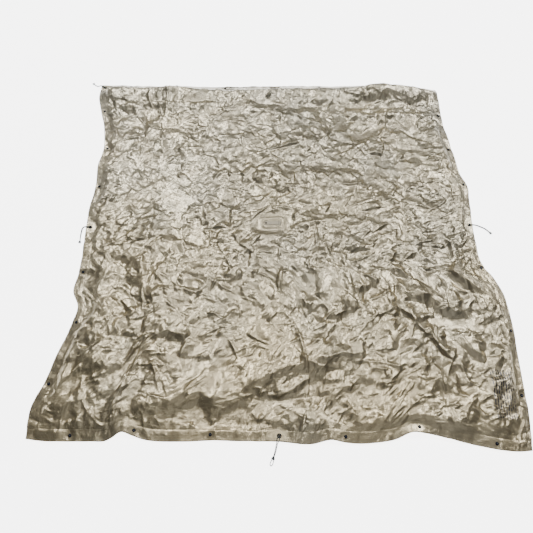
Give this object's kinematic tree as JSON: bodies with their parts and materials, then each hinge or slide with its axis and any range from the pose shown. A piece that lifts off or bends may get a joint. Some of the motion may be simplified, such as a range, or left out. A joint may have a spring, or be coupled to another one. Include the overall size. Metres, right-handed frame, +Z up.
{
  "type": "shelter fly sheet",
  "caption": "Square shelter fly sheet laid on the ground, with a turned hem, press studs, tie eyelets with cord loops and a centre tie-out.",
  "frame": {"origin": "middle of the sheet's outline on the ground, without the cords", "axes": "+Z up off the ground, +X along the near hem to the right, +Y to the far hem"},
  "size_m": [2.3987, 2.4049, 0.0912],
  "materials": {
    "panel_fabric": "coated nylon, slightly shiny, creased",
    "hem_fabric": "coated nylon, doubled and stitched",
    "webbing": "flat woven tape",
    "black_hardware": "black enamelled brass",
    "tie_cord": "braided cord, matt"
  },
  "bodies": {
    "sheet": {"centre_patch": "hem_fabric", "centre_patch_backing": "hem_fabric", "centre_rivet": "black_hardware", "centre_webbing": "webbing", "eyelet_corner": "black_hardware", "eyelet_far": "black_hardware", "eyelet_left": "black_hardware", "eyelet_near": "black_hardware", "eyelet_right": "black_hardware", "hem_far": "hem_fabric", "hem_left": "hem_fabric", "hem_near": "hem_fabric", "hem_right": "hem_fabric", "main_panel": "panel_fabric", "stud_far_1": "black_hardware", "stud_far_2": "black_hardware", "stud_far_3": "black_hardware", "stud_far_4": "black_hardware", "stud_far_5": "black_hardware", "stud_far_6": "black_hardware", "stud_left_1": "black_hardware", "stud_left_2": "black_hardware", "stud_left_3": "black_hardware", "stud_left_4": "black_hardware", "stud_left_5": "black_hardware", "stud_left_6": "black_hardware", "stud_near_1": "black_hardware", "stud_near_2": "black_hardware", "stud_near_3": "black_hardware", "stud_near_4": "black_hardware", "stud_near_5": "black_hardware", "stud_near_6": "black_hardware", "stud_right_1": "black_hardware", "stud_right_2": "black_hardware", "stud_right_3": "black_hardware", "stud_right_4": "black_hardware", "stud_right_5": "black_hardware", "stud_right_6": "black_hardware", "washer_corner": "black_hardware", "washer_far": "black_hardware", "washer_left": "black_hardware", "washer_near": "black_hardware", "washer_right": "black_hardware"},
    "near_tie": {"cord_near": "tie_cord", "knot_near": "tie_cord"},
    "left_tie": {"cord_left": "tie_cord", "knot_left": "tie_cord"},
    "right_tie": {"cord_right": "tie_cord", "knot_right": "tie_cord"},
    "corner_tie": {"cord_corner": "tie_cord", "knot_corner": "tie_cord"}
  },
  "joints": [
    {"name": "near_tie_swing", "type": "hinge", "parent": "sheet", "child": "near_tie", "pos_m": [0.00015, -1.07768, 0.0077], "axis": [0, 0, 1], "range_deg": [-25, 50]},
    {"name": "left_tie_swing", "type": "hinge", "parent": "sheet", "child": "left_tie", "pos_m": [-1.01788, 0.02, 0.0077], "axis": [0, 0, 1], "range_deg": [-40, 4]},
    {"name": "right_tie_swing", "type": "hinge", "parent": "sheet", "child": "right_tie", "pos_m": [1.05496, 0.03519, 0.0077], "axis": [0, 0, 1], "range_deg": [-30, 50]},
    {"name": "corner_tie_swing", "type": "hinge", "parent": "sheet", "child": "corner_tie", "pos_m": [-1.11664, 1.12497, 0.0152], "axis": [0, 0, 1], "range_deg": [-40, 18]}
  ]
}
